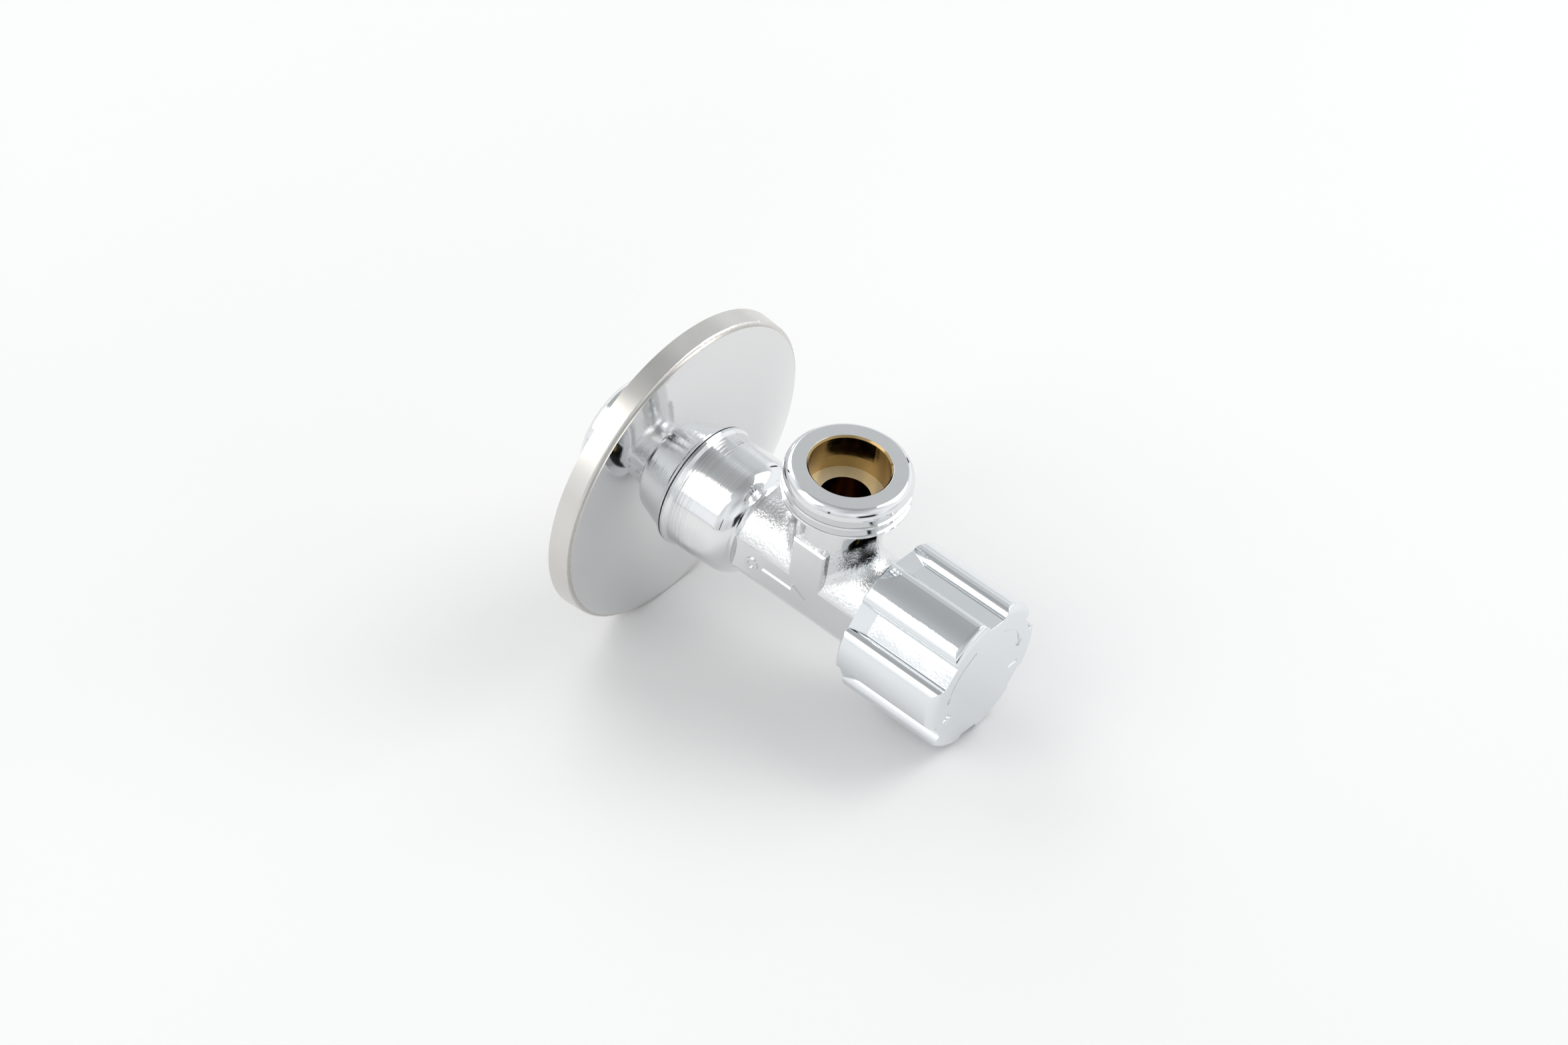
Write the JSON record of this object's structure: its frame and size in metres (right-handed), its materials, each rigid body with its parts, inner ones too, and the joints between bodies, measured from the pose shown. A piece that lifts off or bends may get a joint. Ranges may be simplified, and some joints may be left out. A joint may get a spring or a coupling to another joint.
{
  "type": "angle stop valve",
  "caption": "Chrome-plated right-angle stop valve with male pipe threads at the inlet and outlet, a sliding wall rosette and a fluted round handle.",
  "frame": {"origin": "on the inlet and handle axis, in the finished wall's plane, which is the plane of the rosette's rear rim", "axes": "+Y along the inlet thread into the wall, -Y towards the handle and the user, +Z along the outlet"},
  "size_m": [0.0572, 0.0774, 0.0572],
  "materials": {
    "body_chrome": "bright chrome plate on forged brass",
    "handle_chrome": "bright chrome plate",
    "rosette_satin": "satin polished stainless steel",
    "brass": "turned brass",
    "rubber": "black nitrile rubber",
    "ptfe": "white PTFE",
    "spring_steel": "phosphated spring steel",
    "insert_plastic": "moulded black acetal"
  },
  "bodies": {
    "valve": {"valve_body": "body_chrome", "bonnet": "brass", "bonnet_o_ring": "rubber"},
    "rosette": {"wall_rosette": "rosette_satin"},
    "handle": {"handle": "handle_chrome", "handle_insert": "insert_plastic", "spindle": "brass", "spindle_o_ring_inner": "rubber", "spindle_o_ring_outer": "rubber", "spindle_thrust_washer": "ptfe", "spindle_circlip": "spring_steel"},
    "piston": {"valve_piston": "brass", "disc_washer": "rubber", "disc_retainer": "brass", "disc_screw": "brass"}
  },
  "joints": [
    {"name": "handle_turn", "type": "hinge", "parent": "valve", "child": "handle", "pos_m": [0, -0.0356, 0], "axis": [0, -1, 0], "range_deg": [0, 1080]},
    {"name": "piston_lift", "type": "slide", "parent": "valve", "child": "piston", "axis": [0, -1, 0], "range_m": [0, 0.0045]},
    {"name": "rosette_slide", "type": "slide", "parent": "valve", "child": "rosette", "axis": [0, 1, 0], "range_m": [0, 0.012]}
  ],
  "couplings": [
    {"joint": "piston_lift", "follows": "handle_turn", "m_per_rad": 0.00023873}
  ]
}
